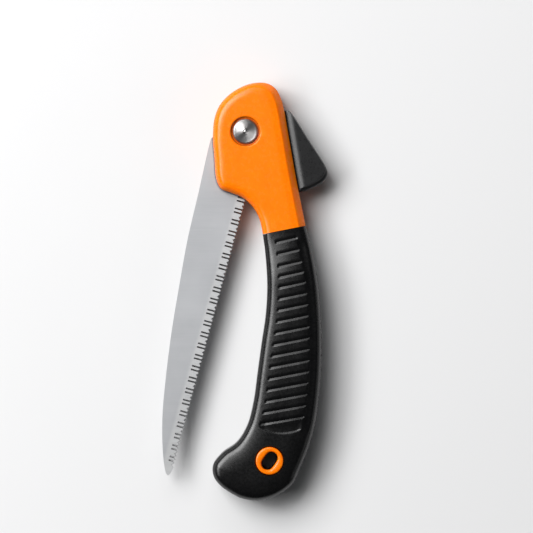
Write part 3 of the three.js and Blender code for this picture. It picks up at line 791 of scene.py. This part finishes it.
def panel_points():
    """Points for the grip's middle: rows along the grooves and close together in them, loose below them."""
    offsets = [-2.6, -2.2, -1.9, -1.6, -1.3, -1, -0.7, -0.4, -0.18, 0]
    offsets += [0.16, 0.4, 0.65, 0.9, 1.14, 1.3, 1.7, 2.2]
    rows = []
    x = np.arange(-4, 44, 0.45)
    for groove in (GROOVES[0] + 12, GROOVES[0] + 6, *GROOVES):
        for off in offsets:
            level = groove - off
            y = np.full(len(x), level)
            for _ in range(4):
                y = level + groove_slant(x, y)
            rows.append(np.column_stack([x, y]))
    lowest = GROOVES[-1] - 2.2
    for level in np.arange(lowest - 0.3, lowest - 12, -0.3):
        rows.append(np.column_stack([x, level + groove_slant(x, np.full(len(x), level))]))
    wide = np.arange(-20, 40, 1.0)
    for level in np.arange(lowest - 12.5, -206, -1.0):
        rows.append(np.column_stack([wide, level + groove_slant(wide, np.full(len(wide), level))]))
    return np.vstack(rows)


def make_grip(flip):
    """One half of the soft grip, hollow over the core."""
    name = "soft_grip_rear" if flip else "soft_grip_front"
    loop = spline(GRIP_OUTLINE, 0.5)
    dome = [0.12, 0.35, 0.6, 0.9, 1.25, 1.6, 1.95, 2.3, 2.6, 2.9, 3.2, 3.55, 3.9, 4.3]
    wall = [*PARTING_EDGE, (0, 2.5), (0, 4.6)]
    grip = domed(name, loop, wall, dome, grip_height, panel_points(), flip)
    inner_wall = [(GRIP_WALL, -1), (GRIP_WALL, 4.5)]
    insert = domed("insert", spline(GRIP_OUTLINE, 1.5), inner_wall, CORE_INSETS, core_height, None, flip)
    rim, above = EYELET_RADIUS + 0.25, GRIP_HALF + 0.1
    hollow = [(0, -1), (rim, -1), (rim, above - 0.6), (rim + 0.1, above - 0.3), (rim + 0.4, above)]
    hollow.append((0, above))
    well = turned("well", hollow, EYELET, 96, flip)
    cutters = [neck_cutter(False, 0.25, flip), slot_cutter(flip), insert, well]
    if flip:
        cutters += grip_screw_seats()
    return boolean(grip, "DIFFERENCE", *cutters)


def core_height(points, depth):
    """Height of the hollow inside the grip, which the core fills."""
    taper = smooth_step(-84, -56, points[:, 1])
    top = GRIP_HALF - GRIP_WALL - taper * (GRIP_HALF - HEAD_HALF)
    return top * np.interp(depth, CORE_INSETS, [0.6, 0.9, 1])


def make_core(flip):
    """The orange core under the grip, which shows inside the blade's slot."""
    name = "core_liner_rear" if flip else "core_liner_front"
    loop = spline(GRIP_OUTLINE, 1.5)

    def height(points, depth):
        return core_height(points, depth - CORE_GAP) - CORE_GAP

    side = GRIP_WALL + CORE_GAP
    insets = [inset + CORE_GAP for inset in CORE_INSETS]
    core = domed(name, loop, [(side, 0), (side, 4.2)], insets, height, None, flip)
    cutters = [neck_cutter(False, 0.02, flip), slot_cutter(flip)]
    cutters.append(cylinder("well", EYELET_RADIUS + 0.1, -1, GRIP_HALF + 0.5, EYELET, 64, flip))
    if flip:
        cutters += grip_screw_seats()
    return boolean(core, "DIFFERENCE", *cutters)


def make_eyelet(flip):
    """The orange ring round the hanging hole, with rounded lips, and under it a black tube of painted shade
    that darkens the hole.
    """
    side = "rear" if flip else "front"
    sides = 128
    tilt = math.radians(90 - EYELET_TILT)

    def hole(a):
        """A point of the hole's edge: a slot with round ends, turned to its tilt."""
        c, s = math.cos(a), math.sin(a)
        x = EYELET_SLOT_HALF * c + math.copysign(EYELET_SLOT_LONG, c) * min(1, abs(c) * 3)
        y = EYELET_SLOT_HALF * s
        return (x * math.cos(tilt) - y * math.sin(tilt), x * math.sin(tilt) + y * math.cos(tilt))

    def ring(share, z):
        """Points between the hole's edge, at share 0, and the eyelet's outer edge, at share 1."""
        points = []
        for k in range(sides):
            hx, hy = hole(2 * math.pi * k / sides)
            angle = math.atan2(hy, hx)
            ox, oy = EYELET_RADIUS * math.cos(angle), EYELET_RADIUS * math.sin(angle)
            points.append((EYELET[0] + hx + (ox - hx) * share, EYELET[1] + hy + (oy - hy) * share, z))
        return points

    # (share, height beside the grip's top) over the ring's rounded crown.
    crown = [
        (1.0, -1.3), (0.985, -0.8), (0.94, -0.42), (0.86, -0.15), (0.74, 0.0), (0.6, 0.06), (0.44, 0.05),
        (0.3, -0.04), (0.18, -0.2), (0.09, -0.45), (0.03, -0.8), (0.0, -1.3),
    ]
    foot = GRIP_HALF - 2.2
    lip = [ring(1.0, foot)] + [ring(share, GRIP_HALF + drop) for share, drop in crown] + [ring(0.0, foot)]
    # The tube is painted shade: black where the hole's real orange wall would only lie in shadow.
    tube = [ring(1.0, SLOT_HALF), ring(1.0, foot), ring(0.02, foot), ring(0.02, SLOT_HALF)]
    return ring_solid(f"eyelet_{side}", lip, flip), ring_solid(f"eyelet_shade_tube_{side}", tube, flip)


# ---------------------------------------------------------------- blade
def tip_line(along):
    """How far out the tooth tips are at a distance along the edge."""
    return TOOTH_LINE + TOOTH_LEAN * (along - TEETH_START)


def tooth_group(start):
    """Outline points down one group of teeth: two narrow slits, and a wide notch before the next group.

    Each point also says how much of both faces is ground away there.
    """
    waist, ground, ground_deep, tooth_half = 0.9, 0.3, 0.36, 1.05
    deep = (TOOTH_HEIGHT - 0.15) * (1 - 0.3 * smooth_step(140, 190, start))
    profile = [(0, 0.1, ground)]
    for middle in (tooth_half, 3 * tooth_half):
        profile += [(waist, middle - 0.14, ground), (deep, middle - 0.08, ground_deep)]
        profile += [(deep, middle + 0.08, ground_deep), (waist, middle + 0.14, ground)]
        profile.append((0, middle + tooth_half, ground))
    profile.append((1.1, 5.35, 0.25))
    return [(tip_line(start + along) - depth, -start - along, ground) for depth, along, ground in profile]


def blade_points():
    """The blade's outline in its own frame, counter-clockwise, with the grinding of its edges."""
    plain = 0.12
    teeth_end = TEETH_START + TOOTH_GROUPS * TOOTH_PERIOD + 0.1
    tip = [
        (9.3, -BLADE_TIP), (9.8, -192.9), (10.25, -192.1), (10.6, -191.2), (10.85, -190),
        (tip_line(teeth_end), -teeth_end),
    ]
    teeth = []
    for group in range(TOOTH_GROUPS - 1, -1, -1):
        teeth += tooth_group(TEETH_START + group * TOOTH_PERIOD)[::-1]
    heel = [(TOOTH_LINE, 3.5)]
    rim = arc(NOTCH_RADIUS, 20, RIM_START - 2, 6) + arc(TANG_RADIUS, RIM_START, NOTCHES[0] - 9, 40)
    for degrees in NOTCHES:
        rim += notch(degrees)
    rim_end = math.radians(NOTCHES[1] + 9)
    rim += [(TANG_RADIUS * math.cos(rim_end), TANG_RADIUS * math.sin(rim_end)), (-15, -5.3)]
    spine = [tuple(p) for p in spline(SPINE, 1.2, closed=False)]
    return [*with_ground(tip, plain), *teeth, *with_ground(heel + rim + spine, plain)]


def with_ground(points, ground):
    """The points, each with the same grinding of the faces."""
    return [(x, y, ground) for x, y in points]


def notch(degrees):
    """The corners of one of the tang's notches for the pawl."""
    cx, cy = math.cos(math.radians(degrees)), math.sin(math.radians(degrees))
    rim = math.sqrt(TANG_RADIUS**2 - NOTCH_HALF**2)
    floor = NOTCH_RADIUS
    corners = [(rim, -NOTCH_HALF), (floor, -NOTCH_HALF), (floor, NOTCH_HALF), (rim, NOTCH_HALF)]
    return [(r * cx - side * cy, r * cy + side * cx) for r, side in corners]


def make_blade():
    """The toothed blade, with its tooth edges ground from both faces."""
    points = np.array(blade_points())
    a = math.radians(REST_ANGLE)
    turn = np.array([[math.cos(a), math.sin(a)], [-math.sin(a), math.cos(a)]])
    loop = points[:, :2] @ turn
    count = len(loop)
    before = loop - np.roll(loop, 1, axis=0)
    after = np.roll(loop, -1, axis=0) - loop
    before /= np.linalg.norm(before, axis=1)[:, None]
    after /= np.linalg.norm(after, axis=1)[:, None]
    # Mitred inward offsets, held short at sharp corners.
    normal = np.column_stack([-before[:, 1] - after[:, 1], before[:, 0] + after[:, 0]])
    normal *= 2 / np.maximum((normal**2).sum(1), 0.55)[:, None]
    ground = loop + normal * points[:, 2:]
    verts = [(x, y, -BLADE_HALF) for x, y in ground] + [(x, y, 0) for x, y in loop]
    verts += [(x, y, BLADE_HALF) for x, y in ground]
    faces = [tuple(range(count))[::-1], tuple(range(2 * count, 3 * count))]
    bridge(faces, 0, count, count)
    bridge(faces, count, 2 * count, count)
    blade = make_object("saw_blade", verts, faces)
    return boolean(blade, "DIFFERENCE", cylinder("eye", BUSH_RADIUS + 0.1, -2, 2, (0, 0), 64))


# ---------------------------------------------------------------- lever and hardware
def lever_height(points, depth):
    """A bevel that is broad below, a raised flat panel, and a slope from a ridge down towards the head."""
    x, y = points[:, 0], points[:, 1]
    lean = math.radians(PAD_RIDGE_LEAN)
    across = (x - PAD_RIDGE[0]) * math.cos(lean) + (y - PAD_RIDGE[1]) * math.sin(lean)
    slope = np.maximum(PAD_HALF + across * math.tan(math.radians(PAD_SLOPE)), LEVER_HALF - 0.3)
    depth = depth * (1 + 3.2 * smooth_step(-24, -15.5, y))
    dome = PAD_HALF * np.interp(depth, [0, 0.2, 0.7, 1.9, 2.2, 2.35], [0.5, 0.65, 0.78, 0.88, 0.98, 1.0])
    # A smooth minimum of the two.
    blend = 0.14
    return -blend * np.log(np.exp(-slope / blend) + np.exp(-dome / blend)) + 0.02


def make_lever():
    """The thumb lever: the pad that shows beside the head, and the arm and boss inside the head."""
    loop = spline(LEVER_OUTLINE, 0.5)
    dome = [0.12, 0.25, 0.4, 0.6]
    lines = contour_points(loop, [0.87, 1.0, 1.13, 1.3, 1.5, 1.7, 1.9, 2.05, 2.2, 2.35, 2.5])
    middle = grid_points((15, -36), (50, 16), 0.4, 0.9)
    middle = middle[distance_to(loop, middle) > 2.7]
    points = np.vstack([lines, middle])
    halves = []
    for flip in (False, True):
        halves.append(domed("thumb_lever", loop, [(0, -0.01), (0, 1.2)], dome, lever_height, points, flip))
    arm = prism("arm", LEVER_ARM, -LEVER_HALF, LEVER_HALF)
    pin = middle_of("lever_pin").to_2d()
    boss = [(0, -BOSS_HALF), (BOSS_RADIUS - 0.3, -BOSS_HALF), (BOSS_RADIUS, 0.3 - BOSS_HALF)]
    boss += [(r, -z) for r, z in boss[::-1]]
    return boolean(halves[0], "UNION", halves[1], arm, turned("boss", boss, pin, 48))


def make_bolt():
    """The pivot bolt's head, with a bevelled rim, a shallow cone and a centre dimple, and its shank."""
    seat = HEAD_HALF - BOLT_RECESS_DEPTH + 0.5
    top = HEAD_HALF - 0.1
    end = 0.6 - GRIP_HALF
    cone, cone_rise = 5.85, 0.6
    shank = [(0, end), (BOLT_SHANK - 0.5, end), (BOLT_SHANK, end + 0.5), (BOLT_SHANK, seat)]
    rim = [(BOLT_RADIUS - 0.4, seat), (BOLT_RADIUS, seat + 0.2), (BOLT_RADIUS, top - 0.75)]
    rim += [(BOLT_RADIUS - 0.12, top - 0.55), (BOLT_RADIUS - 0.6, top - 0.08)]
    rim.append((BOLT_RADIUS - 0.8, top - 0.02))
    face = [(r, top - 0.04 + cone_rise * (1 - r / cone)) for r in (cone, 4.6, 3.4, 2.4, 1.5)]
    dimple = [(1.3, top + 0.2), (1.15, top - 0.1), (0.95, top - 0.1), (0.8, top + 0.3), (0.5, top + 0.47)]
    dimple += [(0.2, top + 0.5), (0, top + 0.5)]
    return turned("bolt", [*shank, *rim, *face, *dimple], (0, 0), 128)


def make_nut():
    """The hexagonal nut, with chamfered corners and a bore that flares at its mouth."""
    bore = BOLT_SHANK + 0.1
    low, high = GRIP_HALF - NUT_HEIGHT + 0.1, GRIP_HALF
    nut = prism("nut", arc(NUT_ACROSS / math.sqrt(3), 0, 300, 5), low, high, True)
    bowl = [(0, low - 1), (8, low - 1), (8, high - 1.7), (4.9, high + 0.05), (0, high + 0.05)]
    hole = [(0, 0), (bore, 0), (bore, high - 0.5), (bore + 0.6, high + 0.1), (0, high + 0.1)]
    boolean(nut, "INTERSECT", turned("bowl", bowl, (0, 0), 96, True))
    return boolean(nut, "DIFFERENCE", turned("hole", hole, (0, 0), 64, True))


def make_screw(index):
    """A pan-head screw with a cross recess."""
    middle = middle_of(f"handle_screw_{index}").to_2d()
    rise = 0.8
    point = [(0, -5.8), (1.0, -5.2), (SCREW_SHANK, -4.6)]
    dome = [(SCREW_HEAD * x, SCREW_HEAD_TOP - rise + rise * y) for x, y in arc(1, 0, 90, 7)]
    profile = [*point, (SCREW_SHANK, SCREW_HEAD_BASE), (SCREW_HEAD, SCREW_HEAD_BASE), *dome[:-1]]
    profile.append((0, SCREW_HEAD_TOP))
    screw = turned(f"screw_{index}", profile, middle, 64, True)
    arm = [(-1.5, -0.3), (1.5, -0.3), (1.5, 0.3), (-1.5, 0.3)]
    for turn in (20, 110):
        c, s = math.cos(math.radians(turn)), math.sin(math.radians(turn))
        outline = [(middle.x + x * c - y * s, middle.y + x * s + y * c) for x, y in arm]
        boolean(screw, "DIFFERENCE", prism("cross", outline, SCREW_HEAD_TOP - 1.1, 9, True))
    return screw


def make_spring():
    """The coil spring under the lever, along X from its wall in the head."""
    sides, steps = 10, 24
    verts = []
    for step in range(steps * SPRING_TURNS + 1):
        turn = 2 * math.pi * step / steps
        along = SPRING_WALL[0] + SPRING_LENGTH * step / (steps * SPRING_TURNS)
        for out, back in arc(SPRING_WIRE, 0, 360 - 360 / sides, sides - 1):
            radius = SPRING_RADIUS + out
            verts.append((along - back, SPRING_WALL[1] + radius * math.cos(turn), radius * math.sin(turn)))
    last = len(verts) - sides
    faces = [tuple(range(sides))[::-1], tuple(range(last, last + sides))]
    for ring in range(0, last, sides):
        bridge(faces, ring, ring + sides, sides)
    return make_object("coil_spring", verts, faces)


def build():
    """Makes every piece. The CAD nodes that stay visible only get a material."""
    for flip, side in ((False, "front"), (True, "rear")):
        finish_piece(make_head(flip), ORANGE, "handle", "orange_plastic", f"core_{side}")
        finish_piece(make_core(flip), ORANGE, "handle", "orange_plastic")
        lip, tube = make_eyelet(flip)
        finish_piece(lip, ORANGE, "handle", "orange_plastic")
        # The eyelet's black tube is painted shade inside the hanging hole, not a real part.
        finish_piece(tube, RUBBER, "handle", "soft_grip")
        finish_piece(make_grip(flip), RUBBER, "handle", "soft_grip", f"grip_{side}")
    finish_piece(make_blade(), STEEL, "blade", "blade_steel", "blade", angle=12)
    finish_piece(make_lever(), NYLON, "lever", "black_plastic", "lock_lever")
    finish_piece(make_bolt(), BRIGHT, "handle", "bright_steel", "pivot_bolt", angle=30)
    finish_piece(make_nut(), ZINC, "handle", "zinc_steel", "pivot_nut", angle=30)
    for index in (1, 2, 3):
        node = f"handle_screw_{index}"
        finish_piece(make_screw(index), ZINC, "handle", "zinc_steel", node, angle=30)
    spring = finish_piece(make_spring(), ZINC, None, "zinc_steel", "lever_spring")
    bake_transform(spring)
    remade = (
        "core_", "grip_", "blade", "lock_lever", "lever_spring", "pivot_bolt", "pivot_nut", "handle_screw_",
    )
    for node, obj in frame["nodes"].items():
        if node.startswith(remade):
            continue
        obj.data.materials.clear()
        obj.data.materials.append(STEEL if node == "lock_pawl" else ZINC)


build()


# ---------------------------------------------------------------- floor, light and camera
def make_stage():
    """The floor that the saw lies on."""
    mesh = bpy.data.meshes.new("floor")
    far = FLOOR_REACH
    mesh.from_pydata([(-far, -far, 0), (far, -far, 0), (far, far, 0), (-far, far, 0)], [], [(0, 1, 2, 3)])
    floor = bpy.data.objects.new("floor", mesh)
    bpy.context.scene.collection.objects.link(floor)
    mesh.materials.append(pale_floor())


def soft_box(name, place, size, power):
    """A rectangular light that faces the frame's origin."""
    light = bpy.data.lights.new(name, "AREA")
    light.shape = "RECTANGLE"
    light.size, light.size_y = size
    light.energy = power
    obj = bpy.data.objects.new(name, light)
    obj.location = place
    obj.rotation_euler = (-Vector(place)).to_track_quat("-Z", "Y").to_euler()
    bpy.context.scene.collection.objects.link(obj)


def make_world():
    """A dim, even, slightly blue surround."""
    world = bpy.data.worlds.new("studio")
    world.use_nodes = True
    background = world.node_tree.nodes["Background"]
    background.inputs["Color"].default_value = (0.95, 0.97, 1.0, 1)
    background.inputs["Strength"].default_value = 0.05
    bpy.context.scene.world = world


def make_camera():
    """A long lens straight above the saw."""
    data = bpy.data.cameras.new("camera")
    data.lens = LENS
    data.sensor_width = SENSOR
    data.clip_end = 10
    obj = bpy.data.objects.new("camera", data)
    obj.location = at(*VIEW_CENTRE, VIEW_WIDTH * LENS / SENSOR)
    bpy.context.scene.collection.objects.link(obj)
    bpy.context.scene.camera = obj


make_stage()
for light in LIGHTS:
    soft_box(*light)
make_world()
bpy.context.scene.view_settings.view_transform = "Standard"
make_camera()
